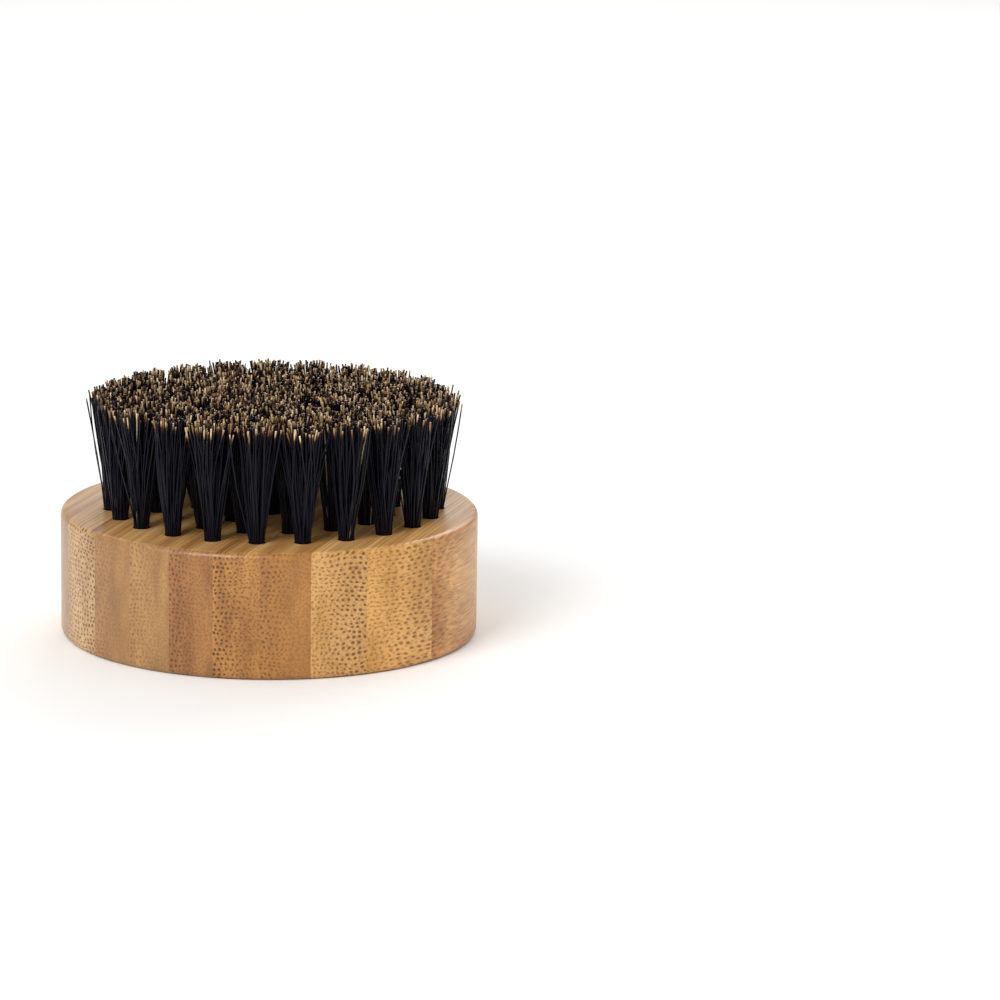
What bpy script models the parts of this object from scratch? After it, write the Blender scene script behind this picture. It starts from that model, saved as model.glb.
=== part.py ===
"""Round beard brush: boar bristle tufts set in a laminated bamboo disc.

The disc is a slice of side-pressed bamboo board, so it is ten upright slats glued face to
face. Its base is flat and its upper face is drilled with four rings of blind holes. Each hole
holds one tuft, a bundle of bristles folded double and driven down with a small flat anchor.
The disc rests on its base at Z = 0, centred on the origin, with the bristles up.

The slats are modelled in the board's own directions: U runs across the slats, V along the
grain. GRAIN_ANGLE turns the board into place.
"""
import math

import bmesh
import bpy
from mathutils import Matrix

MM = 0.001

# ---- bamboo disc ----
DISC_DIAMETER = 60.0 * MM        # across the disc
DISC_HEIGHT = 18.0 * MM          # base to brushing face
RIM_ROUND = 0.9 * MM             # rounding along both rims
SLAT_COUNT = 10                  # slats side by side across the disc
FIRST_SLAT_WIDTH = 5.85 * MM     # disc's edge to the first glue line, at low U
LAST_SLAT_WIDTH = 2.15 * MM      # last glue line to the disc's edge, at high U
GLUE_GAP = 0.3 * MM              # glue line between two slats
GRAIN_ANGLE = math.radians(74.4)  # direction of the grain from +X, seen from above

# ---- tufts and their holes ----
BRISTLE_STAND = 16.5 * MM        # bristle tips above the brushing face
TUFT_ROOT_DIAMETER = 2.2 * MM    # bundle where it enters its hole
HOLE_CLEARANCE = 0.3 * MM        # bundle to the hole's wall, and to its floor
HOLE_DEPTH = 9.0 * MM            # brushing face to the hole's floor
HOLE_EDGE_DISTANCE = 6.6 * MM    # disc's radius less the outer ring's radius
CENTRE_RING_RADIUS = 4.5 * MM    # the other rings are evenly spaced between these two
RING_OFFSET = (0.6 * MM, 0.4 * MM)  # rings' common centre from the disc's axis, +X and +Y
TIP_GAP = 0.4 * MM               # between the splayed tips of the closest tufts
TIP_ROUND = 0.6 * MM             # rounding of a tuft's trimmed end
FLARE_POWER = 1.25               # 1 is a straight cone, more keeps the bundle slim near its root

# Each ring: name, number of tufts, and the turn of its first tuft from -Y in degrees.
RINGS = (
    ("outer", 23, -2.8),
    ("second", 17, 10.3),
    ("third", 7, 21.3),
    ("centre", 3, 0.0),
)

# ---- fineness of the round shapes ----
DISC_SIDES = 72
RIM_STEPS = 3
HOLE_SIDES = 12
TUFT_SIDES = 8
FLARE_STEPS = 3

# ---- sizes that follow ----
DISC_RADIUS = DISC_DIAMETER / 2
SLAT_PITCH = (DISC_DIAMETER - FIRST_SLAT_WIDTH - LAST_SLAT_WIDTH) / (SLAT_COUNT - 2)
TUFT_ROOT_RADIUS = TUFT_ROOT_DIAMETER / 2
HOLE_RADIUS = TUFT_ROOT_RADIUS + HOLE_CLEARANCE
OUTER_RING_RADIUS = DISC_RADIUS - HOLE_EDGE_DISTANCE
RING_PITCH = (OUTER_RING_RADIUS - CENTRE_RING_RADIUS) / (len(RINGS) - 1)

SLAT_COLOURS = (
    (0.52, 0.32, 0.20),
    (0.49, 0.30, 0.15),
    (0.33, 0.16, 0.075),
    (0.48, 0.27, 0.11),
    (0.39, 0.19, 0.069),
    (0.45, 0.23, 0.080),
    (0.45, 0.22, 0.072),
    (0.60, 0.33, 0.13),
    (0.61, 0.33, 0.13),
    (0.53, 0.26, 0.067),
)
BRISTLE_COLOUR = (0.012, 0.011, 0.013)


def clear_scene():
    for item in list(bpy.data.objects):
        bpy.data.objects.remove(item, do_unlink=True)


def finish(name, colour, roughness):
    """A plain dielectric Principled material in linear colour."""
    material = bpy.data.materials.new(name)
    material.use_nodes = True
    shader = material.node_tree.nodes["Principled BSDF"]
    shader.inputs["Base Color"].default_value = (*colour, 1.0)
    shader.inputs["Roughness"].default_value = roughness
    shader.inputs["Metallic"].default_value = 0.0
    material.diffuse_color = (*colour, 1.0)
    return material


def add_object(name, mesh, material=None):
    item = bpy.data.objects.new(name, mesh)
    bpy.context.scene.collection.objects.link(item)
    if material is not None:
        mesh.materials.append(material)
    return item


def turn_profile(bm, profile, sides, place=Matrix.Identity(4)):
    """Turn a profile of (radius, height) points, bottom to top, into a closed round body."""
    rings = []
    for radius, height in profile:
        ring = []
        for side in range(sides):
            angle = 2 * math.pi * side / sides
            point = (radius * math.cos(angle), radius * math.sin(angle), height)
            ring.append(bm.verts.new(point))
        rings.append(ring)
    for lower, upper in zip(rings, rings[1:]):
        for side in range(sides):
            after = (side + 1) % sides
            bm.faces.new((lower[side], lower[after], upper[after], upper[side]))
    bm.faces.new(list(reversed(rings[0])))
    bm.faces.new(rings[-1])
    made = [vert for ring in rings for vert in ring]
    bmesh.ops.transform(bm, matrix=place, verts=made)


def mesh_from(bm, name, smooth_angle):
    """Close the bmesh into a mesh, smooth but for edges sharper than smooth_angle."""
    mesh = bpy.data.meshes.new(name)
    bm.to_mesh(mesh)
    bm.free()
    mesh.shade_smooth()
    mesh.set_sharp_from_angle(angle=smooth_angle)
    return mesh


def disc_profile():
    """Half section of the disc: a flat base, a quarter round at each rim and a flat top."""
    quarter = []
    for step in range(RIM_STEPS + 1):
        angle = 0.5 * math.pi * step / RIM_STEPS
        reach = DISC_RADIUS - RIM_ROUND * (1 - math.sin(angle))
        quarter.append((reach, RIM_ROUND * (1 - math.cos(angle))))
    upper = [(reach, DISC_HEIGHT - rise) for reach, rise in reversed(quarter)]
    return quarter + upper


def cut_flat(bm, offset, side):
    """Cut the body at U = offset, keep its material on the given side and close the cut."""
    everything = bm.verts[:] + bm.edges[:] + bm.faces[:]
    cut = bmesh.ops.bisect_plane(
        bm,
        geom=everything,
        dist=0.001 * MM,
        plane_co=(offset, 0, 0),
        plane_no=(-side, 0, 0),
        clear_outer=True,
    )
    edges = [item for item in cut["geom_cut"] if isinstance(item, bmesh.types.BMEdge)]
    bmesh.ops.holes_fill(bm, edges=edges, sides=0)
    bmesh.ops.recalc_face_normals(bm, faces=bm.faces[:])


def glue_planes():
    """Places along U of the glue lines between the slats."""
    first = FIRST_SLAT_WIDTH - DISC_RADIUS
    return [first + line * SLAT_PITCH for line in range(SLAT_COUNT - 1)]


def slat_mesh(name, low, high):
    """The disc's material between two glue lines. None stands for the disc's own edge."""
    bm = bmesh.new()
    turn_profile(bm, disc_profile(), DISC_SIDES)
    if low is not None:
        cut_flat(bm, low + GLUE_GAP / 2, 1)
    if high is not None:
        cut_flat(bm, high - GLUE_GAP / 2, -1)
    bmesh.ops.rotate(bm, cent=(0, 0, 0), matrix=Matrix.Rotation(slat_turn(), 3, "Z"), verts=bm.verts)
    return mesh_from(bm, name, math.radians(40))


def slat_turn():
    """Turn that takes U, which is +X while a slat is made, to its place a quarter off the grain."""
    return GRAIN_ANGLE - math.pi / 2


def tuft_places():
    """Name and plan position of every tuft, ring by ring."""
    places = []
    for ring_number, (ring, count, turn) in enumerate(RINGS):
        radius = OUTER_RING_RADIUS - ring_number * RING_PITCH
        for number in range(count):
            angle = math.radians(turn - 90 + 360 * number / count)
            x = RING_OFFSET[0] + radius * math.cos(angle)
            y = RING_OFFSET[1] + radius * math.sin(angle)
            places.append((f"tuft_{ring}_{number + 1:02d}", x, y))
    return places


def closest_tufts():
    """Smallest distance between two tufts' centres."""
    places = tuft_places()
    return min(
        math.hypot(one[1] - other[1], one[2] - other[2])
        for index, one in enumerate(places)
        for other in places[index + 1:]
    )


def tuft_profile():
    """Half section of a tuft: a straight root in its hole, then a flare to the trimmed tips."""
    root = TUFT_ROOT_RADIUS
    tip = (closest_tufts() - TIP_GAP) / 2
    foot = DISC_HEIGHT - HOLE_DEPTH + HOLE_CLEARANCE
    profile = [(root, foot)]
    for step in range(FLARE_STEPS + 1):
        along = step / FLARE_STEPS
        reach = root + (tip - root) * along ** FLARE_POWER
        profile.append((reach, DISC_HEIGHT + (BRISTLE_STAND - TIP_ROUND) * along))
    profile.append((tip - TIP_ROUND, DISC_HEIGHT + BRISTLE_STAND))
    return profile


def build_holes():
    """One cutter that holds every blind hole. It reaches past the brushing face."""
    bm = bmesh.new()
    floor = DISC_HEIGHT - HOLE_DEPTH
    mouth = DISC_HEIGHT + HOLE_CLEARANCE
    for _, x, y in tuft_places():
        wall = [(HOLE_RADIUS, floor), (HOLE_RADIUS, mouth)]
        turn_profile(bm, wall, HOLE_SIDES, Matrix.Translation((x, y, 0)))
    cutter = add_object("hole_cutter", mesh_from(bm, "hole_cutter", math.radians(40)))
    cutter.hide_render = True
    cutter.display_type = "WIRE"
    return cutter


def build_slats(cutter):
    """The disc's slats, each drilled where holes fall on it or on its glue lines."""
    edges = [None] + glue_planes() + [None]
    for number, (low, high) in enumerate(zip(edges, edges[1:])):
        name = f"bamboo_slat_{number + 1:02d}"
        material = finish(f"{name}_bamboo", SLAT_COLOURS[number % len(SLAT_COLOURS)], 0.42)
        slat = add_object(name, slat_mesh(name, low, high), material)
        drill = slat.modifiers.new("tuft holes", "BOOLEAN")
        drill.operation = "DIFFERENCE"
        drill.solver = "EXACT"
        drill.object = cutter


def build_tufts():
    """One closed body for each bundle of bristles."""
    for name, x, y in tuft_places():
        bm = bmesh.new()
        turn_profile(bm, tuft_profile(), TUFT_SIDES)
        material = finish(f"{name}_bristle", BRISTLE_COLOUR, 0.38)
        tuft = add_object(name, mesh_from(bm, name, math.radians(50)), material)
        tuft.location = (x, y, 0)


clear_scene()
build_slats(build_holes())
build_tufts()
bpy.context.view_layer.update()
print(f"beard brush: {SLAT_COUNT} slats, {len(tuft_places())} tufts, "
      f"{(DISC_HEIGHT + BRISTLE_STAND) / MM:.1f} mm high")
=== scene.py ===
# %% [markdown]
# # A round bamboo beard brush
#
# The brush is a slice of laminated bamboo board with 50 tufts of boar bristle set in it. The
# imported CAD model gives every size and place. This script makes the surfaces that the eye
# sees: satin lacquered bamboo with its strands of fibre, folded bristles with pale natural
# tips, and the small steel anchors at the bottom of the holes.
#
# All lengths are in metres, as in the CAD model. `MM` turns millimetres into metres.

# %% Load the CAD frame
import math

import bpy
from mathutils import Matrix, Vector


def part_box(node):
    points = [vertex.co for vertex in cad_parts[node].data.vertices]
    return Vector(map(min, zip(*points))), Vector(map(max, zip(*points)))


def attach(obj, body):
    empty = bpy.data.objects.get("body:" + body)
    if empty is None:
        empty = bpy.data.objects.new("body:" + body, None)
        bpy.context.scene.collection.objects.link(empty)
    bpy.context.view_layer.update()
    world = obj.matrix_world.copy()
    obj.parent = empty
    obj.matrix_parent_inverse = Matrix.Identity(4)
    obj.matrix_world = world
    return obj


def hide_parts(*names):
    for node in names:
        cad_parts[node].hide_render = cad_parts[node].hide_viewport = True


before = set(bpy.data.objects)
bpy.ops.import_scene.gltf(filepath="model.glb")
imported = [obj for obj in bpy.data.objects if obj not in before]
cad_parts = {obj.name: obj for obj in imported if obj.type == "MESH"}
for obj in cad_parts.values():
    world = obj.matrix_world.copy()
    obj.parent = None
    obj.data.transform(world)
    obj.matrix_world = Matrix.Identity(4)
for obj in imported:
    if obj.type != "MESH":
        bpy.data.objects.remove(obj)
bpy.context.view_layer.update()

MM = 0.001

# %% [markdown]
# ## Sizes from the frame
#
# Nothing is measured twice. The disc's radius and height come from the slats, and each tuft's
# centre comes from its own CAD solid. The tip height, foot and splay come from the first tuft's
# solid. The slats run along the grain, so they are measured in the board's own directions: U
# across the slats and V along the grain.

# %% Sizes from the frame
GRAIN_ANGLE = math.radians(74.4)
BOARD_TURN = GRAIN_ANGLE - math.pi / 2
ACROSS_SLATS = Vector((math.cos(BOARD_TURN), math.sin(BOARD_TURN), 0))
ALONG_GRAIN = Vector((math.cos(GRAIN_ANGLE), math.sin(GRAIN_ANGLE), 0))

slat_names = sorted(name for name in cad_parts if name.startswith("bamboo_slat"))
tuft_names = sorted(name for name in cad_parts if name.startswith("tuft"))


def vertices_of(name):
    return [vert.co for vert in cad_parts[name].data.vertices]


def slat_span(name):
    """Lowest and highest U of a slat."""
    places = [point.dot(ACROSS_SLATS) for point in vertices_of(name)]
    return min(places), max(places)


def tuft_centre(name):
    low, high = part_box(name)
    return Vector(((low.x + high.x) / 2, (low.y + high.y) / 2, 0))


slat_spans = [slat_span(name) for name in slat_names]
disc_radius = max(point.xy.length for name in slat_names for point in vertices_of(name))
disc_height = max(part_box(name)[1].z for name in slat_names)
tuft_centres = [tuft_centre(name) for name in tuft_names]
tuft_low, tuft_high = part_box(tuft_names[0])
tuft_foot = tuft_low.z
tip_height = tuft_high.z
tip_radius = (tuft_high.x - tuft_low.x) / 2
print(f"disc {2 * disc_radius / MM:.1f} x {disc_height / MM:.1f} mm, {len(slat_names)} slats")
print(f"{len(tuft_names)} tufts, tips at {tip_height / MM:.1f} mm, splay {tip_radius / MM:.2f} mm")

# %% [markdown]
# ## Three small helpers
#
# Colours are known as sRGB hex values, but shaders work in linear light, so `linear` turns one
# into the other.
#
# `add` makes one node with its settings and its inputs, which keeps a long tree readable. An
# input is either a plain value or the output of another node. Most nodes in such trees do
# sums, so a kind in capitals stands for that operation of the Math node.
#
# `new_finish` starts a material. Lacquer, keratin and zinc all begin at the usual index of
# refraction, 1.5, so only the roughness is asked for.


# %% Helpers for colours and nodes
def linear(hex_colour):
    """An sRGB hex colour, such as "C8A060", as linear RGBA."""
    channels = [int(hex_colour[place:place + 2], 16) / 255 for place in (0, 2, 4)]
    straight = [c / 12.92 if c <= 0.04045 else ((c + 0.055) / 1.055) ** 2.4 for c in channels]
    return (*straight, 1.0)


def add(tree, kind, inputs=(), out=0, **settings):
    """Add a node and return one of its outputs, or the node itself where out is None.

    inputs is a list in the order of the node's sockets, or a dict of their names or numbers.
    """
    if kind.isupper():
        settings["operation"] = kind
        kind = "ShaderNodeMath"
    node = tree.nodes.new(kind)
    for name, value in settings.items():
        setattr(node, name, value)
    numbered = inputs.items() if isinstance(inputs, dict) else enumerate(inputs)
    for socket, value in numbered:
        if isinstance(value, bpy.types.NodeSocket):
            tree.links.new(value, node.inputs[socket])
        else:
            node.inputs[socket].default_value = value
    return node if out is None else node.outputs[out]


def new_finish(name, roughness):
    """A material with a Principled shader, and its tree and shader."""
    material = bpy.data.materials.new(name)
    material.use_nodes = True
    shader = material.node_tree.nodes["Principled BSDF"]
    shader.inputs["Roughness"].default_value = roughness
    shader.inputs["IOR"].default_value = 1.5
    return material, material.node_tree, shader


# %% [markdown]
# ## Camera
#
# A long lens from low in front keeps the disc's curves even and shows the brushing face as a
# thin ellipse. The brush stands left of the picture's middle. The camera isn't shifted for
# that: it looks past the brush, as a real one does.

# %% Camera
LENS = 158.4                     # mm
SENSOR_WIDTH = 36.0              # mm
NEAREST_SEEN = 10.0 * MM
CAMERA_ELEVATION = math.radians(12.59)
CAMERA_ROLL = math.radians(0.90)
BASE_IN_VIEW = Vector((-33.45, -18.49, -638.1)) * MM  # the base's middle: right, up, towards the camera


def place_camera():
    roll_sin, roll_cos = math.sin(CAMERA_ROLL), math.cos(CAMERA_ROLL)
    rise_sin, rise_cos = math.sin(CAMERA_ELEVATION), math.cos(CAMERA_ELEVATION)
    # The brush's own axes, each given as right, up and towards the camera.
    brush_x = Vector((roll_cos, -roll_sin, 0))
    brush_z = Vector((roll_sin * rise_cos, roll_cos * rise_cos, rise_sin))
    brush_y = brush_z.cross(brush_x)
    turn = Matrix((brush_x, brush_y, brush_z))
    camera = bpy.data.objects.new("camera", bpy.data.cameras.new("camera"))
    bpy.context.scene.collection.objects.link(camera)
    camera.data.lens = LENS
    camera.data.sensor_width = SENSOR_WIDTH
    camera.data.clip_start = NEAREST_SEEN
    camera.matrix_world = Matrix.Translation(-(turn @ BASE_IN_VIEW)) @ turn.to_4x4()
    bpy.context.scene.camera = camera
    return camera


print("camera at", [round(value, 3) for value in place_camera().matrix_world.translation])

# %% [markdown]
# ## Floor and light
#
# The light is a white tent. An even white sky gives the lacquer its pale edges, a soft panel
# over the front left shapes the rim and the bristles, a second one behind lights the brushing
# face, and the white floor fills from below.

# %% Floor
FLOOR_SIZE = 6.0
FLOOR_ROUGHNESS = 0.9


def lay_floor():
    half = FLOOR_SIZE / 2
    mesh = bpy.data.meshes.new("floor")
    mesh.from_pydata([(-half, -half, 0), (half, -half, 0), (half, half, 0), (-half, half, 0)],
                     [], [(0, 1, 2, 3)])
    material, _, shader = new_finish("matte white table", FLOOR_ROUGHNESS)
    shader.inputs["Base Color"].default_value = linear("F4F3F1")
    mesh.materials.append(material)
    floor = bpy.data.objects.new("floor", mesh)
    bpy.context.scene.collection.objects.link(floor)
    print("floor", FLOOR_SIZE, "m across")


lay_floor()

# %% Light
SKY_STRENGTH = 0.70

# Each panel: name, place, width and height in metres, and power in watts.
PANELS = (
    ("key panel", (-0.45, -0.65, 0.75), (0.5, 0.5), 7.0),
    ("back panel", (0.25, 0.70, 0.55), (0.7, 0.35), 3.0),
)


def hang_panel(name, place, size, power):
    """A soft rectangular panel that faces the brush."""
    light = bpy.data.lights.new(name, "AREA")
    light.shape = "RECTANGLE"
    light.size, light.size_y = size
    light.energy = power
    panel = bpy.data.objects.new(name, light)
    bpy.context.scene.collection.objects.link(panel)
    panel.location = place
    to_brush = Vector((0, 0, disc_height)) - Vector(place)
    panel.rotation_euler = to_brush.to_track_quat("-Z", "Y").to_euler()


def light_tent():
    world = bpy.data.worlds.new("white tent")
    bpy.context.scene.world = world
    world.use_nodes = True
    sky = world.node_tree.nodes["Background"]
    sky.inputs["Color"].default_value = linear("FFFFFF")
    sky.inputs["Strength"].default_value = SKY_STRENGTH
    for panel in PANELS:
        hang_panel(*panel)
    bpy.context.scene.view_settings.view_transform = "Standard"
    print("white sky and", len(PANELS), "panels")


light_tent()

# %% [markdown]
# ## Bamboo: where a point lies in the board
#
# Bamboo has no rings. Its wall is soft pale tissue with strands of dark fibre that run along
# the stem. Where the disc is cut across the strands they show as dots, and where it is cut
# along them they show as fine streaks.
#
# A picture wrapped round the disc could not give both. So the bamboo is a solid pattern: each
# strand is a line along V, and the surface cuts through it wherever it lies. The first step
# turns the object's own coordinates into board coordinates in millimetres: U across the
# slats, V along the grain, W up. Slow noise then bends the rows of strands, as growth does.

# %% Board coordinates
BEND_SCALE = 1 / 6        # one bend of the rows in about 6 mm across the grain
BEND_ALONG = 1 / 90       # and one in about 90 mm along it
BEND_REACH = (1.2, 0.0, 2.2)   # mm, most that the noise's full range moves a strand
BEND_DETAIL = 1.5


def board_place(tree, seed):
    """Board coordinates in mm, as they are and bent by growth."""
    here = add(tree, "ShaderNodeTexCoord", out="Object")
    board = add(tree, "ShaderNodeMapping",
                {"Vector": here, "Rotation": (0, 0, -BOARD_TURN), "Scale": (1 / MM,) * 3})
    slow = add(tree, "ShaderNodeMapping", {"Vector": board, "Location": (seed,) * 3,
                                           "Scale": (BEND_SCALE, BEND_ALONG, BEND_SCALE)})
    noise = add(tree, "ShaderNodeTexNoise", {"Vector": slow, "Scale": 1.0, "Detail": BEND_DETAIL},
                out="Color")
    middled = add(tree, "ShaderNodeVectorMath", [noise, (0.5,) * 3], operation="SUBTRACT")
    bend = add(tree, "ShaderNodeVectorMath", [middled, BEND_REACH], operation="MULTIPLY")
    return board, add(tree, "ShaderNodeVectorMath", [board, bend], operation="ADD")


print("rows of strands bend by up to", [reach / 2 for reach in BEND_REACH], "mm each way")

# %% [markdown]
# ## Bamboo: strong strands
#
# The strands stand in bundles, two strong strands to a bundle, in staggered rows. They crowd
# and darken towards the stem's outer skin, which was one side of each slat. The pattern cuts
# the board's cross section into cells of one bundle each. Every cell draws its own shift, size
# and darkness from white noise, so no two are alike and no picture repeats.

# %% Strong strands
BUNDLE_PITCH = 1.55            # mm between bundles across the wall
ROW_PITCH = 0.66               # mm between rows of bundles
ROW_STAGGER = 0.38             # share of the pitch that each row is moved on
BUNDLE_SHIFT = (0.34, 0.66)    # where a bundle's middle may lie across its cell, as a share
BUNDLE_LIFT = (0.33, 0.67)     # and up its cell
STRAND_GAP = 0.32              # mm from a bundle's middle to each of its two strands
STRAND_RADIUS = 0.23           # mm, of the largest strands
STRAND_SIZES = (0.55, 1.0)     # a strand's drawn size, as a share of what crowding allows
SMALLEST_STRAND = 0.35         # the smallest radius, as a share of the largest
STRAND_EDGE = (0.55, 1.4)      # radii over which a strand fades out
INNER_STRAND_DEPTH = 0.25      # how dark strands are furthest from the skin


def strong_strands(tree, across, up, crowd, seed):
    """How much of a bundle's strands there is at a point, 0 to 1."""
    row = add(tree, "DIVIDE", [up, ROW_PITCH])
    row_number = add(tree, "FLOOR", [row])
    stagger = add(tree, "MULTIPLY", [row_number, ROW_STAGGER])
    column = add(tree, "MULTIPLY_ADD", [across, 1 / BUNDLE_PITCH, stagger])
    column_number = add(tree, "FLOOR", [column])
    cell = add(tree, "ShaderNodeCombineXYZ", [column_number, row_number, seed])
    dice = add(tree, "ShaderNodeTexWhiteNoise", [cell], out="Color")
    shift, lift, size = add(tree, "ShaderNodeSeparateXYZ", [dice], out=None).outputs
    # The place is now counted in mm from the bundle's own middle, which the dice shift too.
    shift = add(tree, "ShaderNodeMapRange", [shift, 0.0, 1.0, *BUNDLE_SHIFT])
    aside = add(tree, "SUBTRACT", [add(tree, "SUBTRACT", [column, column_number]), shift])
    aside = add(tree, "MULTIPLY", [aside, BUNDLE_PITCH])
    lift = add(tree, "ShaderNodeMapRange", [lift, 0.0, 1.0, *BUNDLE_LIFT])
    aloft = add(tree, "SUBTRACT", [add(tree, "SUBTRACT", [row, row_number]), lift])
    aloft = add(tree, "MULTIPLY", [aloft, ROW_PITCH])
    # Folding the cell about its middle makes two strands from one.
    aside = add(tree, "SUBTRACT", [add(tree, "ABSOLUTE", [aside]), STRAND_GAP])
    aside_squared = add(tree, "MULTIPLY", [aside, aside])
    aloft_squared = add(tree, "MULTIPLY", [aloft, aloft])
    away = add(tree, "SQRT", [add(tree, "ADD", [aside_squared, aloft_squared])])
    size = add(tree, "ShaderNodeMapRange", [size, 0.0, 1.0, *STRAND_SIZES])
    size = add(tree, "MULTIPLY", [size, crowd])
    radius = add(tree, "ShaderNodeMapRange", [size, 0.0, 1.0, SMALLEST_STRAND * STRAND_RADIUS,
                                              STRAND_RADIUS])
    radii_away = add(tree, "DIVIDE", [away, radius])
    inside = add(tree, "ShaderNodeMapRange", [radii_away, *STRAND_EDGE, 1.0, 0.0],
                 interpolation_type="SMOOTHSTEP")
    depth = add(tree, "ShaderNodeMapRange", [crowd, 0.0, 1.0, INNER_STRAND_DEPTH, 1.0])
    return add(tree, "MULTIPLY", [inside, depth])


# %% [markdown]
# ## Bamboo: fine strands
#
# Finer strands fill the tissue between the bundles. They have no order of their own, so the
# cells of a flat Voronoi texture place them, one to a cell.

# %% Fine strands
FINE_PITCH = 0.55              # mm between the fine strands
FINE_DISORDER = 0.8            # 0 would set them in a square grid
FINE_EDGE = (0.12, 0.42)       # pitches from its middle over which a fine strand fades out
FINE_DEPTH = 0.40              # how dark they are against the strong ones


def strands(tree, bent, crowd, seed):
    """How much dark strand there is at a point, 0 to 1. crowd is 1 at the outer skin."""
    across, _, up = add(tree, "ShaderNodeSeparateXYZ", [bent], out=None).outputs
    strong = strong_strands(tree, across, up, crowd, seed)
    section = add(tree, "ShaderNodeCombineXYZ", [across, up])
    away = add(tree, "ShaderNodeTexVoronoi", {"Vector": section, "Scale": 1 / FINE_PITCH,
                                              "Randomness": FINE_DISORDER}, voronoi_dimensions="2D")
    fine = add(tree, "ShaderNodeMapRange", [away, *FINE_EDGE, FINE_DEPTH, 0.0],
               interpolation_type="SMOOTHSTEP")
    return add(tree, "MAXIMUM", [strong, fine])


print(f"strong strands of {2 * STRAND_RADIUS} mm, fine ones every {FINE_PITCH} mm")

# %% [markdown]
# ## Bamboo: the tissue between the strands
#
# The tissue is made of much finer fibres, too small to draw one by one. Noise that is stretched
# along the grain stands for them, and a slower noise gives the wide, pale and deep bands.
#
# End grain soaks up more lacquer and shows each slat's own colour. Where the cut runs along the
# fibres, all slats come closer to one honey tone. The surface's own direction says which it is.

# %% Tissue
FIBRE_SIZE = 0.25              # mm, width of the fine fibres' streaks
FIBRE_RUN = 14.0               # mm, their length along the grain
FIBRE_DETAIL = 3.0
FIBRE_ROUGHNESS = 0.65
FIBRE_SHARE = 0.8              # how much the fibres count in the tone against the bands
BAND_SIZE = (2.4, 80.0, 8.0)   # mm, size of a paler or deeper band along U, V and W
BAND_DETAIL = 2.0
TONE_RANGE = (0.68, 1.12)      # fibres and bands together, from the deep colour to the pale one
LONG_GRAIN_PALE = "F0C280"     # honey tissue where the cut runs along the fibres
LONG_GRAIN_DEEP = "9A6228"
LONG_GRAIN_SHARE = 0.65        # how far that evens out the slats' own colours
END_GRAIN_RANGE = (0.1, 0.6)   # how squarely the fibres are cut: long grain below, end grain above


def squareness(tree):
    """How squarely the surface cuts the fibres: 0 along the grain, 1 on end grain."""
    facing = add(tree, "ShaderNodeTexCoord", out="Normal")
    squarely = add(tree, "ShaderNodeVectorMath", [facing, ALONG_GRAIN], out="Value",
                   operation="DOT_PRODUCT")
    squarely = add(tree, "ABSOLUTE", [squarely])
    return add(tree, "ShaderNodeMapRange", [squarely, *END_GRAIN_RANGE], interpolation_type="SMOOTHSTEP")


def tissue(tree, board, squarely, pale, deep, seed):
    """The colour between the strands, and the fine fibres' own pattern."""
    fibre_place = add(tree, "ShaderNodeMapping", {"Vector": board, "Location": (seed,) * 3,
                      "Scale": (1 / FIBRE_SIZE, 1 / FIBRE_RUN, 1 / FIBRE_SIZE)})
    fibre = add(tree, "ShaderNodeTexNoise", {"Vector": fibre_place, "Scale": 1.0,
                                             "Detail": FIBRE_DETAIL, "Roughness": FIBRE_ROUGHNESS})
    band_place = add(tree, "ShaderNodeMapping", {"Vector": board, "Location": (seed,) * 3,
                                                 "Scale": [1 / size for size in BAND_SIZE]})
    band = add(tree, "ShaderNodeTexNoise", {"Vector": band_place, "Scale": 1.0, "Detail": BAND_DETAIL})
    tone = add(tree, "MULTIPLY_ADD", [fibre, FIBRE_SHARE, band])
    tone = add(tree, "ShaderNodeMapRange", [tone, *TONE_RANGE])
    end_grain = add(tree, "ShaderNodeMix", {0: tone, 6: linear(deep), 7: linear(pale)}, out=2,
                    data_type="RGBA")
    honey = add(tree, "ShaderNodeMix", {0: tone, 6: linear(LONG_GRAIN_DEEP), 7: linear(LONG_GRAIN_PALE)},
                out=2, data_type="RGBA")
    long_grain = add(tree, "ShaderNodeMix", {0: LONG_GRAIN_SHARE, 6: end_grain, 7: honey}, out=2,
                     data_type="RGBA")
    colour = add(tree, "ShaderNodeMix", {0: squarely, 6: long_grain, 7: end_grain}, out=2,
                 data_type="RGBA")
    return colour, fibre


print("tissue fibres", FIBRE_SIZE, "mm wide and", FIBRE_RUN, "mm long")

# %% [markdown]
# ## Bamboo: the finish of one slat
#
# The whole disc was sanded round and sprayed with a satin lacquer, so the gloss is soft and
# even. The lacquer sinks a little into the tissue and the hard strands stay proud, which a very
# low bump shows.
#
# Slats come from different stems and show either their outer skin or their inner wall to the
# left, so each has its own colours.

# %% Slat finish
SATIN_ROUGHNESS = 0.42
COAT_WEIGHT = 0.15
COAT_ROUGHNESS = 0.22
STRAND_RELIEF = 0.02 * MM
RELIEF_STRENGTH = 0.3
FIBRE_RELIEF = 0.5             # of the fine fibres, against the strands
LONG_STRAND_SHARE = 0.5        # how dark a strand shows along the grain, against its end


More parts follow.
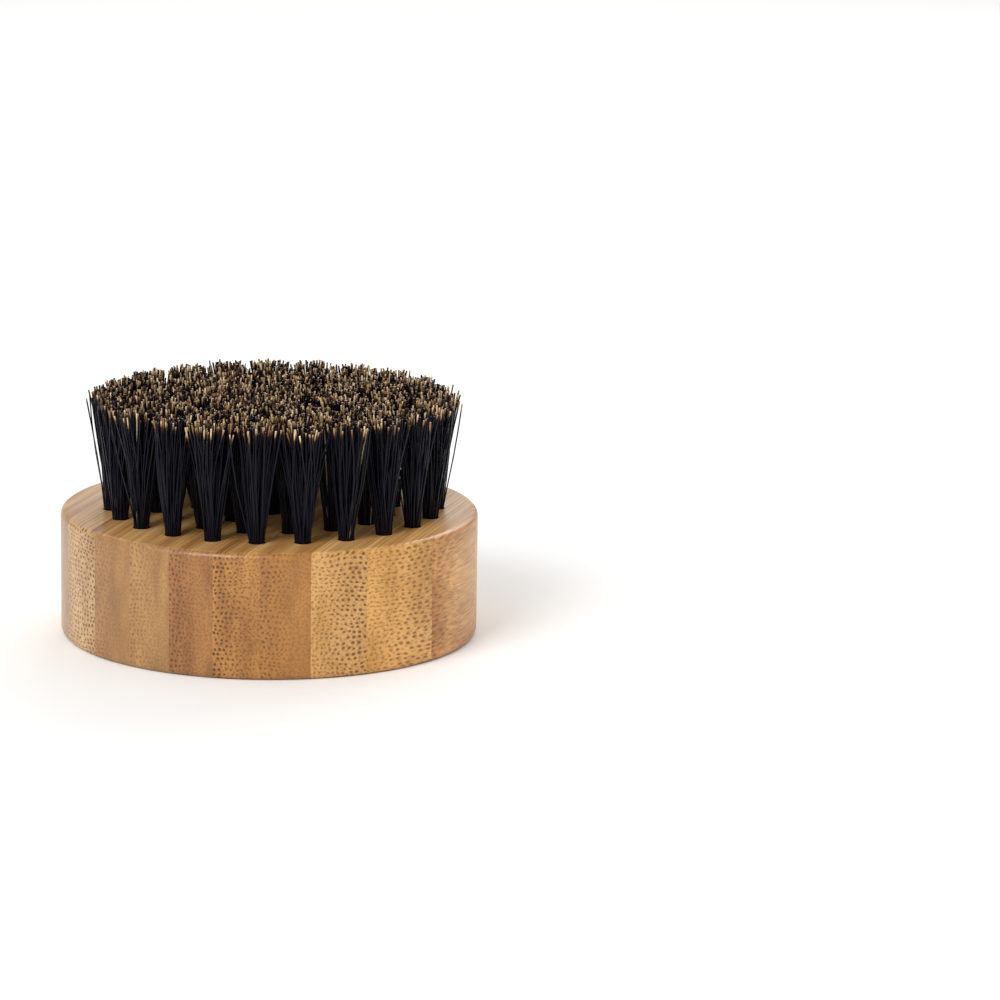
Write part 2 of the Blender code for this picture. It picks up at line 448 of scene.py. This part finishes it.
def bamboo(name, span, pale, deep, strand_colour, strand_depth, skin_side, least_crowd):
    """Satin lacquered bamboo. span is the slat's U range, skin_side 1 if its skin is at high U."""
    material, tree, shader = new_finish(name, SATIN_ROUGHNESS)
    seed = 10 * span[0] / MM
    board, bent = board_place(tree, seed)
    inner, skin = [place / MM for place in (span if skin_side > 0 else span[::-1])]
    across = add(tree, "ShaderNodeSeparateXYZ", [bent])
    crowd = add(tree, "ShaderNodeMapRange", [across, inner, skin, least_crowd, 1.0],
                interpolation_type="SMOOTHSTEP")
    strand = strands(tree, bent, crowd, seed)
    squarely = squareness(tree)
    between, fibre = tissue(tree, board, squarely, pale, deep, seed)

    seen = add(tree, "ShaderNodeMapRange", [squarely, 0.0, 1.0, LONG_STRAND_SHARE * strand_depth,
                                            strand_depth])
    cover = add(tree, "MULTIPLY", [strand, seen])
    colour = add(tree, "ShaderNodeMix", {0: cover, 6: between, 7: linear(strand_colour)}, out=2,
                 data_type="RGBA")
    tree.links.new(colour, shader.inputs["Base Color"])

    relief = add(tree, "MULTIPLY_ADD", [fibre, FIBRE_RELIEF, strand])
    bump = add(tree, "ShaderNodeBump", {"Height": relief, "Strength": RELIEF_STRENGTH,
                                        "Distance": STRAND_RELIEF})
    tree.links.new(bump, shader.inputs["Normal"])
    shader.inputs["Coat Weight"].default_value = COAT_WEIGHT
    shader.inputs["Coat Roughness"].default_value = COAT_ROUGHNESS
    return material


# Each slat: pale and deep tissue, strands, how dark they are, side of the skin, least crowding.
SLAT_FINISHES = (
    ("B3946E", "967556", "7A5028", 0.50, -1, 0.1),
    ("C9A470", "A37E50", "663A0A", 0.95, 1, 0.75),
    ("AA7C47", "896035", "6A4020", 0.55, -1, 0.1),
    ("B38852", "90673A", "70441C", 0.60, -1, 0.3),
    ("A6723C", "855629", "5C300E", 0.85, -1, 0.2),
    ("BA8240", "936027", "522A02", 0.95, -1, 0.4),
    ("B27A38", "966229", "603208", 0.75, -1, 0.15),
    ("D5A262", "BC8A45", "663808", 0.92, 1, 0.6),
    ("E4AA5E", "C48D40", "6E3E06", 0.88, 1, 0.5),
    ("D0882C", "AC681C", "663604", 0.90, -1, 0.5),
)
slat_finishes = [
    bamboo(f"lacquered bamboo {number + 1}", slat_spans[number], *look)
    for number, look in enumerate(SLAT_FINISHES)
]
print(len(slat_finishes), "bamboo finishes")

# %% [markdown]
# ## From a tree to a plain mesh
#
# Slats, bristles and anchors follow rules, so Geometry Nodes make them. `new_tree` starts a
# tree with named inputs. `make_piece` runs a tree on a new object, whose own points are the
# places that the rule needs, and keeps the result as a plain mesh, because the other tools
# read meshes and not modifiers.


# %% Geometry Nodes helpers
def new_tree(name, sockets):
    """A Geometry Nodes tree with named inputs, and what comes in through them."""
    tree = bpy.data.node_groups.new(name, "GeometryNodeTree")
    tree.interface.new_socket("Geometry", in_out="INPUT", socket_type="NodeSocketGeometry")
    tree.interface.new_socket("Geometry", in_out="OUTPUT", socket_type="NodeSocketGeometry")
    for label, kind in sockets.items():
        tree.interface.new_socket(label, in_out="INPUT", socket_type="NodeSocket" + kind)
    given = add(tree, "NodeGroupInput", out=None).outputs
    return tree, given


def finish_tree(tree, geometry, material):
    """Plain geometry with its material goes out."""
    real = add(tree, "GeometryNodeRealizeInstances", [geometry])
    dressed = add(tree, "GeometryNodeSetMaterial", {"Geometry": real, "Material": material})
    add(tree, "NodeGroupOutput", [dressed], out=None)
    return tree


def make_piece(name, tree, values, points=()):
    """Run the tree and keep its result as a plain mesh."""
    mesh = bpy.data.meshes.new(name)
    mesh.from_pydata(points, [], [])
    piece = bpy.data.objects.new(name, mesh)
    bpy.context.scene.collection.objects.link(piece)
    rule = piece.modifiers.new(tree.name, "NODES")
    rule.node_group = tree
    for socket in tree.interface.items_tree:
        if socket.in_out == "INPUT" and socket.name in values:
            rule[socket.identifier] = values[socket.name]
    evaluated = piece.evaluated_get(bpy.context.evaluated_depsgraph_get())
    plain = bpy.data.meshes.new_from_object(evaluated)
    piece.modifiers.clear()
    piece.data = plain
    plain.name = name
    return piece


def triangles(piece):
    return sum(len(face.vertices) - 2 for face in piece.data.polygons)


# %% [markdown]
# ## The slats: a disc with rounded rims
#
# A slat is the disc's material between two glue lines, less its share of the tuft holes. The
# disc comes first: a drum with many level rings, each of which is moved to its place on the
# rounded half section. A bevel made after the cuts would also round the edges of the slats
# and holes, which are crisp on the real brush.
#
# The lowest and highest rings lie a little inside the rounding, on the flat. They keep the
# smooth shading of the rounding from running out over the flat faces.

# %% Rounded disc
RIM_ROUND = 0.9 * MM
RIM_STEPS = 8
FLAT_RING = 0.06 * MM          # from the rounding to the ring that ends its shading
DISC_SIDES = 192


def rounded_disc(tree, given):
    # Rings of the drum, counted from the nearer end: 0 on the flat, then up the rounding.
    gaps = 2 * RIM_STEPS + 3
    drum = add(tree, "GeometryNodeMeshCylinder",
               {"Vertices": DISC_SIDES, "Side Segments": gaps, "Radius": 1.0, "Depth": 1.0},
               fill_type="NGON")
    place = add(tree, "GeometryNodeInputPosition")
    x, y, z = add(tree, "ShaderNodeSeparateXYZ", [place], out=None).outputs
    level = add(tree, "MULTIPLY", [add(tree, "ADD", [z, 0.5]), gaps])
    level = add(tree, "ROUND", [level])
    ring = add(tree, "MINIMUM", [level, add(tree, "SUBTRACT", [gaps, level])])
    climb = add(tree, "MAXIMUM", [add(tree, "SUBTRACT", [ring, 1.0]), 0.0])
    angle = add(tree, "MULTIPLY", [climb, math.pi / 2 / RIM_STEPS])
    inset = add(tree, "SUBTRACT", [1.0, add(tree, "SINE", [angle])])
    inset = add(tree, "MULTIPLY", [given["Rim round"], inset])
    on_flat = add(tree, "LESS_THAN", [ring, 0.5])
    inset = add(tree, "ADD", [inset, add(tree, "MULTIPLY", [on_flat, FLAT_RING])])
    radius = add(tree, "SUBTRACT", [given["Radius"], inset])
    rise = add(tree, "SUBTRACT", [1.0, add(tree, "COSINE", [angle])])
    rise = add(tree, "MULTIPLY", [given["Rim round"], rise])
    # A ring of the upper half lies as far below the top as its twin lies above the base.
    upper = add(tree, "GREATER_THAN", [level, gaps / 2])
    twin_gap = add(tree, "SUBTRACT", [given["Height"], add(tree, "MULTIPLY", [rise, 2.0])])
    height = add(tree, "ADD", [rise, add(tree, "MULTIPLY", [upper, twin_gap])])
    moved = add(tree, "ShaderNodeCombineXYZ", [add(tree, "MULTIPLY", [x, radius]),
                                               add(tree, "MULTIPLY", [y, radius]), height])
    return add(tree, "GeometryNodeSetPosition", {"Geometry": drum, "Position": moved})


print(f"rims rounded to {RIM_ROUND / MM} mm in {RIM_STEPS} steps")

# %% [markdown]
# ## The slats: what is cut
#
# The slab between two glue lines cuts a slat out of the disc, and a drill at every hole centre
# cuts the holes. The object's own points are those centres. The drills are instances of one
# cylinder, and they reach as far above the brushing face as below it, so that the holes open
# cleanly.

# %% Slab and drills
SLAB_LENGTH = 3.0              # disc radii, so that the slab passes the disc on all sides
HOLE_RADIUS = 1.25 * MM
HOLE_DEPTH = 9.0 * MM
HOLE_SIDES = 28


def slab(tree, given):
    """A block from one glue line to the next, turned into place."""
    width = add(tree, "SUBTRACT", [given["To"], given["From"]])
    middle = add(tree, "MULTIPLY", [add(tree, "ADD", [given["To"], given["From"]]), 0.5])
    length = add(tree, "MULTIPLY", [given["Radius"], SLAB_LENGTH])
    size = add(tree, "ShaderNodeCombineXYZ", [width, length, length])
    block = add(tree, "GeometryNodeMeshCube", {"Size": size})
    aside = add(tree, "ShaderNodeCombineXYZ", [middle])
    block = add(tree, "GeometryNodeTransform", {"Geometry": block, "Translation": aside})
    turn = add(tree, "ShaderNodeCombineXYZ", {2: given["Turn"]})
    return add(tree, "GeometryNodeTransform", {"Geometry": block, "Rotation": turn})


def drills(tree, given):
    """A cylinder at every hole centre, its middle at the brushing face."""
    length = add(tree, "MULTIPLY", [given["Hole depth"], 2.0])
    drill = add(tree, "GeometryNodeMeshCylinder",
                {"Vertices": HOLE_SIDES, "Side Segments": 1, "Radius": given["Hole radius"],
                 "Depth": length}, fill_type="NGON")
    up = add(tree, "ShaderNodeCombineXYZ", {2: given["Height"]})
    drill = add(tree, "GeometryNodeTransform", {"Geometry": drill, "Translation": up})
    placed = add(tree, "GeometryNodeInstanceOnPoints", {"Points": given["Geometry"], "Instance": drill})
    return add(tree, "GeometryNodeRealizeInstances", [placed])


print(f"holes {2 * HOLE_RADIUS / MM} mm wide and {HOLE_DEPTH / MM} mm deep")

# %% [markdown]
# ## The slats: the whole rule
#
# The exact solver makes both cuts, because it keeps every piece closed. Edges sharper than
# SHARP_ANGLE stay crisp and all others are shaded smooth. The glue film of the real board is
# too thin to see, so the visible slats meet face to face, where the CAD slats keep a gap.

# %% Slat tree
SHARP_ANGLE = math.radians(40)


def slat_tree():
    tree, given = new_tree("bamboo slat", {
        "Radius": "Float", "Height": "Float", "Rim round": "Float", "From": "Float", "To": "Float",
        "Turn": "Float", "Hole radius": "Float", "Hole depth": "Float", "Material": "Material"})
    cut = add(tree, "GeometryNodeMeshBoolean", {1: rounded_disc(tree, given)}, out=None,
              operation="INTERSECT", solver="EXACT")
    tree.links.new(slab(tree, given), cut.inputs[1])
    slat = add(tree, "GeometryNodeMeshBoolean", [cut.outputs[0], drills(tree, given)],
               operation="DIFFERENCE", solver="EXACT")
    bend = add(tree, "GeometryNodeInputMeshEdgeAngle")
    sharp = add(tree, "GREATER_THAN", [bend, SHARP_ANGLE])
    slat = add(tree, "GeometryNodeSetShadeSmooth", {0: slat, 2: True}, domain="FACE")
    slat = add(tree, "GeometryNodeSetShadeSmooth", {0: slat, 1: sharp, 2: False}, domain="EDGE")
    return finish_tree(tree, slat, given["Material"])


# %% Build the slats
PAST_RIM = 1.1                 # disc radii, where the two outer slats' slabs end


def glue_lines():
    """Where the slabs end along U: past the rim, and in the middle of each gap of the CAD model."""
    between = [(one[1] + other[0]) / 2 for one, other in zip(slat_spans, slat_spans[1:])]
    return [-PAST_RIM * disc_radius, *between, PAST_RIM * disc_radius]


def build_slats():
    tree = slat_tree()
    lines = glue_lines()
    counts = []
    for number, name in enumerate(slat_names):
        slat = make_piece(f"lacquered_slat_{number + 1:02d}", tree, {
            "Radius": disc_radius, "Height": disc_height, "Rim round": RIM_ROUND,
            "From": lines[number], "To": lines[number + 1], "Turn": BOARD_TURN,
            "Hole radius": HOLE_RADIUS, "Hole depth": HOLE_DEPTH,
            "Material": slat_finishes[number]}, points=tuft_centres)
        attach(slat, "root")
        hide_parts(name)
        counts.append(triangles(slat))
    print("slats:", counts, "triangles")


build_slats()

# %% [markdown]
# ## Bristle finish
#
# Boar bristle is keratin, dyed or naturally near black, with a natural tip that bleaches to
# straw in its last millimetres. Its near black carries a slight blue tint, which is painted
# sheen standing for the bluish highlights along the bristles. Dye gives way to brown first and
# then to straw. On some bristles that happens only at the very end, and a few stay paler all
# along.
#
# Each tuft carries a UV map. Its columns are 64 kinds of bristle, and its rows run from the
# fold to the tip. The colour reads nothing else, so one small material serves every tuft.

# %% Bristle finish
KINDS = 64
UV_MAP = "OFBake"
BRISTLE_ROUGHNESS = 0.29
BRISTLE_GLOSS = 0.2            # the dye and oil film reflect less than bare keratin, which has 0.5
# Near black dye, with a blue tint painted in that stands for the bluish sheen on the bristles.
DARK_DYE_AND_BLUE_SHEEN = "04040C"
LIGHT_DYE_AND_BLUE_SHEEN = "0E0E1E"
BROWN = "4E321C"
STRAW_DARK = "926A40"
STRAW_PALE = "FBDDAE"
BLEACHED_TIP = 2.8             # mm, the longest
LEAST_BLEACHED = 0.1           # kinds that draw less than this are dyed to the end
BROWN_RUN = 0.9                # mm over which the dye gives way to brown
STRAW_FROM = 0.7               # mm from the dye's end, where brown starts to give way to straw
STRAW_FULL = 1.5               # mm from the dye's end, where it is all straw
UNDYED_ABOVE = 0.96            # the few kinds that draw more than this stay paler all along
UNDYED_PALENESS = 0.5


def boar_bristle():
    material, tree, shader = new_finish("dyed boar bristle with natural tips", BRISTLE_ROUGHNESS)
    where = add(tree, "ShaderNodeUVMap", uv_map=UV_MAP)
    column, along, _ = add(tree, "ShaderNodeSeparateXYZ", [where], out=None).outputs
    kind = add(tree, "FLOOR", [add(tree, "MULTIPLY", [column, KINDS])])
    dice = add(tree, "ShaderNodeTexWhiteNoise", {"W": kind}, out="Color", noise_dimensions="1D")
    shade, bleach, warmth = add(tree, "ShaderNodeSeparateXYZ", [dice], out=None).outputs

    # Along the bristle, as shares of its length: where the dye ends, then brown, then straw.
    length = (tip_height - tuft_foot) / MM
    dye_end = add(tree, "ShaderNodeMapRange", [bleach, LEAST_BLEACHED, 1.0, 1.0, 1 - BLEACHED_TIP / length])
    all_brown = add(tree, "ADD", [dye_end, BROWN_RUN / length])
    straw_start = add(tree, "ADD", [dye_end, STRAW_FROM / length])
    straw_end = add(tree, "ADD", [dye_end, STRAW_FULL / length])
    brownness = add(tree, "ShaderNodeMapRange", [along, dye_end, all_brown])
    paleness = add(tree, "ShaderNodeMapRange", [along, straw_start, straw_end])
    undyed = add(tree, "GREATER_THAN", [shade, UNDYED_ABOVE])
    paleness = add(tree, "MAXIMUM", [paleness, add(tree, "MULTIPLY", [undyed, UNDYED_PALENESS])])

    # The dark colour: real near black dye plus a painted blue sheen, lighter or darker at random for each
    # kind.
    dye_and_blue_sheen = add(tree, "ShaderNodeMix", {0: shade, 6: linear(DARK_DYE_AND_BLUE_SHEEN), 7: linear(LIGHT_DYE_AND_BLUE_SHEEN)}, out=2,
              data_type="RGBA")
    straw = add(tree, "ShaderNodeMix", {0: warmth, 6: linear(STRAW_DARK), 7: linear(STRAW_PALE)}, out=2,
                data_type="RGBA")
    colour = add(tree, "ShaderNodeMix", {0: brownness, 6: dye_and_blue_sheen, 7: linear(BROWN)}, out=2,
                 data_type="RGBA")
    colour = add(tree, "ShaderNodeMix", {0: paleness, 6: colour, 7: straw}, out=2, data_type="RGBA")
    tree.links.new(colour, shader.inputs["Base Color"])
    shader.inputs["Specular IOR Level"].default_value = BRISTLE_GLOSS
    return material


# %% [markdown]
# ## A tuft: bristles, legs and draws
#
# A tuft is a bundle of bristles laid over a small steel strip, folded double and punched into
# the hole. So one bristle is one long hairpin: from its tip down into the hole, round under
# the strip and up to its other tip. The bundle is tight in the hole and fans out above it,
# until it meets its neighbours at the trimmed tips.
#
# The rule is written on points. Every bristle gets 13 of them, counted from tip to tip. From a
# point's number come its bristle, its leg and its step from the fold, and from those its place.
# Each leg also draws a few numbers that stay the same along its whole length.

# %% Counting along the bristles
STEPS = 6                      # points on a leg, from the fold to the tip
POINTS = 2 * STEPS + 1
DRAW_STRIDE = 1000             # keeps the draws' seeds apart from the tufts' own

# What each leg draws, and between which numbers.
DRAWS = {
    "stray": (0.0, 1.0),           # how likely it is to stand off
    "reach": (-0.20, 0.12),        # tip in or out, as a share of the tuft's splay
    "turn": (-0.8, 0.8),           # tip round the tuft, in radians
    "bow": (0.0, 1.0),             # how much it bows
    "bow side": (0.0, 2 * math.pi),
    "trim": (0.0, 1.0),            # how much shorter it was cut
    "kind": (0.0, KINDS),          # its column in the UV map
}


def count_legs(tree):
    """A point's bristle, its walk from the fold (below zero on one leg), and its leg."""
    index = add(tree, "GeometryNodeInputIndex")
    bristle = add(tree, "FLOOR", [add(tree, "DIVIDE", [index, POINTS])])
    passed = add(tree, "MULTIPLY", [bristle, POINTS])
    walk = add(tree, "SUBTRACT", [add(tree, "SUBTRACT", [index, passed]), STEPS])
    second_leg = add(tree, "GREATER_THAN", [walk, 0.0])
    return bristle, walk, add(tree, "MULTIPLY_ADD", [bristle, 2.0, second_leg])


def draw_numbers(tree, given, leg):
    drawn = {}
    for number, (label, (low, high)) in enumerate(DRAWS.items(), start=1):
        seed = add(tree, "ADD", [given["Seed"], number * DRAW_STRIDE])
        drawn[label] = add(tree, "FunctionNodeRandomValue", {2: low, 3: high, "ID": leg, "Seed": seed},
                           out=1, data_type="FLOAT")
    return drawn


print(f"{POINTS} points and two legs to a bristle, {len(DRAWS)} draws to a leg")

# %% [markdown]
# ## A tuft: how the legs spread
#
# The legs are spread like the seeds of a sunflower, which fills a circle evenly: each one turns
# on by the golden angle, and its distance from the middle grows with the root of its number.
# The same turn holds in the hole and at the tip, so the legs hardly cross. A few draw a large
# stray number and stand off, as a few bristles of every real tuft do.

# %% Across the tuft
FACE_STEP = 2                  # the step that lies level with the brushing face
GOLDEN_TURN = math.pi * (3 - math.sqrt(5))
STRAY_POWER = 10.0             # the higher, the fewer legs stand off
STRAY_REACH = 0.6              # how far they do, as a share of the tuft's splay
FLARE_POWER = 1.4              # 1 would be a straight cone


def polar(tree, radius, angle):
    """A level place at this distance and angle from the tuft's middle."""
    x = add(tree, "MULTIPLY", [radius, add(tree, "COSINE", [angle])])
    y = add(tree, "MULTIPLY", [radius, add(tree, "SINE", [angle])])
    return add(tree, "ShaderNodeCombineXYZ", [x, y])


def spread_legs(tree, given, drawn, leg, step, free):
    """A point's level place in the tuft, and how far out its tip leans."""
    leg_count = add(tree, "MULTIPLY", [given["Bristles"], 2.0])
    share = add(tree, "DIVIDE", [add(tree, "ADD", [leg, 0.5]), leg_count])
    spread = add(tree, "SQRT", [share])
    turn = add(tree, "MULTIPLY_ADD", [leg, GOLDEN_TURN, given["Seed"]])
    # Three places: on the strip, in the bundle at the brushing face, and at the tip.
    on_strip = add(tree, "MULTIPLY", [add(tree, "SUBTRACT", [share, 0.5]), given["Root radius"]])
    fold = add(tree, "ShaderNodeCombineXYZ", [on_strip])
    root = polar(tree, add(tree, "MULTIPLY", [spread, given["Root radius"]]), turn)
    stray = add(tree, "POWER", [drawn["stray"], STRAY_POWER])
    reach = add(tree, "ADD", [spread, add(tree, "MULTIPLY", [stray, STRAY_REACH])])
    reach = add(tree, "ADD", [reach, drawn["reach"]])
    tip_turn = add(tree, "ADD", [turn, drawn["turn"]])
    tip = polar(tree, add(tree, "MULTIPLY", [reach, given["Tip radius"]]), tip_turn)
    leaving = add(tree, "MINIMUM", [step, 1.0])
    flat = add(tree, "ShaderNodeMix", {0: leaving, 4: fold, 5: root}, out=1, data_type="VECTOR")
    flare = add(tree, "POWER", [free, FLARE_POWER])
    flat = add(tree, "ShaderNodeMix", {0: flare, 4: flat, 5: tip}, out=1, data_type="VECTOR")
    # A little bow to one side, most of it half way up.
    bow = add(tree, "SINE", [add(tree, "MULTIPLY", [free, math.pi])])
    bow = add(tree, "MULTIPLY", [bow, drawn["bow"]])
    bow = polar(tree, add(tree, "MULTIPLY", [bow, given["Bow"]]), drawn["bow side"])
    return add(tree, "ShaderNodeVectorMath", [flat, bow], operation="ADD"), reach


# %% [markdown]
# ## A tuft: how the legs rise
#
# The fold lies at the bottom of the hole. The tips are trimmed level, a little lower at the edge
# of the tuft, because legs that lean reach less high, and never quite evenly.

# %% Up the tuft
SINK_POWER = 3.8               # the first steps stay near the fold, which rounds it


def raise_legs(tree, given, drawn, step, free, reach):
    """A point's height, and its way along the bristle from the fold, 0, to the tip, 1."""
    sunk = add(tree, "DIVIDE", [add(tree, "MINIMUM", [step, FACE_STEP]), FACE_STEP])
    sunk = add(tree, "POWER", [sunk, SINK_POWER])
    in_hole = add(tree, "SUBTRACT", [given["Face height"], given["Fold height"]])
    in_hole = add(tree, "MULTIPLY", [sunk, in_hole])
    dome = add(tree, "MULTIPLY", [add(tree, "MULTIPLY", [reach, reach]), given["Dome"]])
    trim = add(tree, "MULTIPLY", [drawn["trim"], given["Uneven"]])
    top = add(tree, "SUBTRACT", [given["Tip height"], add(tree, "ADD", [dome, trim])])
    above = add(tree, "MULTIPLY", [free, add(tree, "SUBTRACT", [top, given["Face height"]])])
    height = add(tree, "ADD", [given["Fold height"], add(tree, "ADD", [in_hole, above])])
    # The way along leaves the trim out, so that a short bristle has its whole bleached tip.
    untrimmed = add(tree, "SUBTRACT", [given["Tip height"], given["Face height"]])
    way = add(tree, "ADD", [in_hole, add(tree, "MULTIPLY", [free, untrimmed])])
    whole = add(tree, "SUBTRACT", [given["Tip height"], given["Fold height"]])
    return height, add(tree, "DIVIDE", [way, whole])


# %% [markdown]
# ## A tuft: hairs and their UV map
#
# Points to Curves strings the points of each bristle together, and Curve to Mesh gives them
# their thickness. A hair has four sides, which is enough for something this thin. It is a
# little thicker towards the tip, where real bristle splits into a brush of its own.
#
# The UV map gives each kind its own column. A hair's cut ends would fall on a single line
# there, so they get a thin sliver instead.

# %% Hairs
BRISTLE_SIDES = 4
HAIR_RADIUS = (0.42, 0.52)     # at the brushing face and at the tip, as a share of the thickness
COLUMN_MARGIN = 0.1            # left free on each side of a column, as a share of its width
ROW_MARGIN = 0.01
CUT_END = 0.999                # faces further along than this are cut ends
CUT_SLIVER = 0.008


def hairs(tree, given, points, bristle, walk):
    lines = add(tree, "GeometryNodePointsToCurves", [points, bristle, walk])
    outline = add(tree, "GeometryNodeCurvePrimitiveCircle", {"Resolution": BRISTLE_SIDES, "Radius": 1.0})
    around = add(tree, "GeometryNodeSplineParameter")
    outline = add(tree, "GeometryNodeStoreNamedAttribute", {0: outline, "Name": "around",
                                                            "Value": around})
    free = add(tree, "GeometryNodeInputNamedAttribute", ["free"])
    radius = add(tree, "ShaderNodeMapRange", [free, 0.0, 1.0, *HAIR_RADIUS])
    radius = add(tree, "MULTIPLY", [given["Thickness"], radius])
    return add(tree, "GeometryNodeCurveToMesh", {
        "Curve": lines, "Profile Curve": outline, "Scale": radius, "Fill Caps": True})


def lay_uv(tree, shafts):
    kind, along, around = [add(tree, "GeometryNodeInputNamedAttribute", [name])
                           for name in ("kind", "along", "around")]
    u = add(tree, "MULTIPLY_ADD", [around, 1 - 2 * COLUMN_MARGIN, COLUMN_MARGIN])
    u = add(tree, "DIVIDE", [add(tree, "ADD", [kind, u]), KINDS])
    face_along = add(tree, "GeometryNodeFieldOnDomain", [along], domain="FACE", data_type="FLOAT")
    is_cut = add(tree, "GREATER_THAN", [face_along, CUT_END])
    sliver = add(tree, "SINE", [add(tree, "MULTIPLY", [around, 2 * math.pi])])
    sliver = add(tree, "MULTIPLY", [is_cut, add(tree, "MULTIPLY", [sliver, CUT_SLIVER])])
    v = add(tree, "MULTIPLY_ADD", [along, 1 - 2 * ROW_MARGIN, ROW_MARGIN])
    uv = add(tree, "ShaderNodeCombineXYZ", [u, add(tree, "ADD", [v, sliver])])
    return add(tree, "GeometryNodeStoreNamedAttribute", {0: shafts, "Name": UV_MAP, "Value": uv},
               data_type="FLOAT2", domain="CORNER")


# %% [markdown]
# ## A tuft: the whole rule
#
# The tree puts the steps together. It stores each point's kind, its way along the bristle and
# how far it stands free of the hole, because the hairs and the UV map read them again once
# the points have become curves and faces.


# %% Tuft tree
def tuft_tree():
    tree, given = new_tree("tuft of folded bristles", {
        "Centre": "Vector", "Bristles": "Int", "Root radius": "Float", "Tip radius": "Float",
        "Fold height": "Float", "Face height": "Float", "Tip height": "Float", "Thickness": "Float",
        "Bow": "Float", "Dome": "Float", "Uneven": "Float", "Seed": "Int", "Material": "Material"})
    bristle, walk, leg = count_legs(tree)
    drawn = draw_numbers(tree, given, leg)
    step = add(tree, "ABSOLUTE", [walk])
    past_face = add(tree, "SUBTRACT", [step, FACE_STEP])
    free = add(tree, "DIVIDE", [past_face, STEPS - FACE_STEP], use_clamp=True)
    flat, reach = spread_legs(tree, given, drawn, leg, step, free)
    height, along = raise_legs(tree, given, drawn, step, free, reach)

    place = add(tree, "ShaderNodeVectorMath", [flat, given["Centre"]], operation="ADD")
    up = add(tree, "ShaderNodeCombineXYZ", {2: height})
    place = add(tree, "ShaderNodeVectorMath", [place, up], operation="ADD")
    count = add(tree, "MULTIPLY", [given["Bristles"], POINTS])
    points = add(tree, "GeometryNodePoints", {"Count": count, "Position": place})
    kind = add(tree, "FLOOR", [drawn["kind"]])
    for label, value in (("kind", kind), ("along", along), ("free", free)):
        points = add(tree, "GeometryNodeStoreNamedAttribute", {0: points, "Name": label, "Value": value})

    shafts = lay_uv(tree, hairs(tree, given, points, bristle, walk))
    shafts = add(tree, "GeometryNodeSetShadeSmooth", {0: shafts, 2: True}, domain="FACE")
    return finish_tree(tree, shafts, given["Material"])


# %% [markdown]
# ## Building the tufts
#
# Real bristle is 0.15 to 0.2 mm thick. Here it is drawn about 0.25 mm thick and there are fewer
# of them, so that each one shows. The outer tufts mingle a little at their tips. The inner ones
# stand further apart, so they get more bristles and splay more, to fill the middle.

# %% Build the tufts
BRISTLE_THICKNESS = 0.25 * MM
TUFT_ROOT_RADIUS = 1.06 * MM
FOLDED_BRISTLES = 54
SPLAY = 1.04
INNER_BRISTLES = 84
INNER_SPLAY = 1.45
PROUD = 0.5 * MM               # the longest bristles stand this far above the even trim
BOW = 0.8 * MM                 # most that a bristle bows to one side
DOME = 0.3 * MM                # how much lower the tips are at the edge of a tuft
UNEVEN = 1.0 * MM              # most that a bristle is cut short


def build_tufts():
    tree = tuft_tree()
    material = boar_bristle()
    total = 0
    for number, (name, centre) in enumerate(zip(tuft_names, tuft_centres)):
        inner = "centre" in name or "third" in name
        bristles, splay = (INNER_BRISTLES, INNER_SPLAY) if inner else (FOLDED_BRISTLES, SPLAY)
        tuft = make_piece(name.replace("tuft", "bristles"), tree, {
            "Centre": centre, "Bristles": bristles, "Root radius": TUFT_ROOT_RADIUS,
            "Tip radius": splay * tip_radius, "Fold height": tuft_foot, "Face height": disc_height,
            "Tip height": tip_height + PROUD, "Thickness": BRISTLE_THICKNESS, "Bow": BOW,
            "Dome": DOME, "Uneven": UNEVEN, "Seed": number + 1, "Material": material})
        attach(tuft, "root")
        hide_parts(name)
        total += triangles(tuft)
    print(len(tuft_names), "tufts,", total, "triangles")


build_tufts()

# %% [markdown]
# ## Anchors
#
# A flat piece of galvanised steel strip is driven down with each bundle. It holds the folds at
# the bottom of the hole and bites into the walls. It is hidden in the finished brush, and it
# is what makes the tufts stay, so it is made as well. Zinc from a hot bath sets in patches of
# slightly different grey, which a fine noise gives.

# %% Anchors
ANCHOR_LENGTH = 2.6 * MM
ANCHOR_HEIGHT = 1.4 * MM
ANCHOR_THICKNESS = 0.35 * MM
ZINC_ROUGHNESS = 0.4
ZINC_SCALE = 1.2 / MM          # a patch in about 0.8 mm
ZINC_DETAIL = 2.0


def galvanised_strip():
    material, tree, shader = new_finish("galvanised steel strip", ZINC_ROUGHNESS)
    here = add(tree, "ShaderNodeTexCoord", out="Object")
    patches = add(tree, "ShaderNodeTexNoise", {"Vector": here, "Scale": ZINC_SCALE,
                                               "Detail": ZINC_DETAIL})
    colour = add(tree, "ShaderNodeMix", {0: patches, 6: linear("8E9296"), 7: linear("C4C8CB")}, out=2,
                 data_type="RGBA")
    tree.links.new(colour, shader.inputs["Base Color"])
    shader.inputs["Metallic"].default_value = 1.0
    return material


def anchor_tree():
    tree, given = new_tree("anchors", {"Length": "Float", "Height": "Float", "Thickness": "Float",
                                       "Middle": "Float", "Material": "Material"})
    size = add(tree, "ShaderNodeCombineXYZ", [given["Length"], given["Thickness"], given["Height"]])
    strip = add(tree, "GeometryNodeMeshCube", {"Size": size})
    up = add(tree, "ShaderNodeCombineXYZ", {2: given["Middle"]})
    strip = add(tree, "GeometryNodeTransform", {"Geometry": strip, "Translation": up})
    strips = add(tree, "GeometryNodeInstanceOnPoints", {"Points": given["Geometry"], "Instance": strip})
    return finish_tree(tree, strips, given["Material"])


anchors = make_piece("tuft_anchors", anchor_tree(), {
    "Length": ANCHOR_LENGTH, "Height": ANCHOR_HEIGHT, "Thickness": ANCHOR_THICKNESS,
    "Middle": tuft_foot + ANCHOR_HEIGHT, "Material": galvanised_strip()}, points=tuft_centres)
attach(anchors, "root")
print("anchors:", triangles(anchors), "triangles")
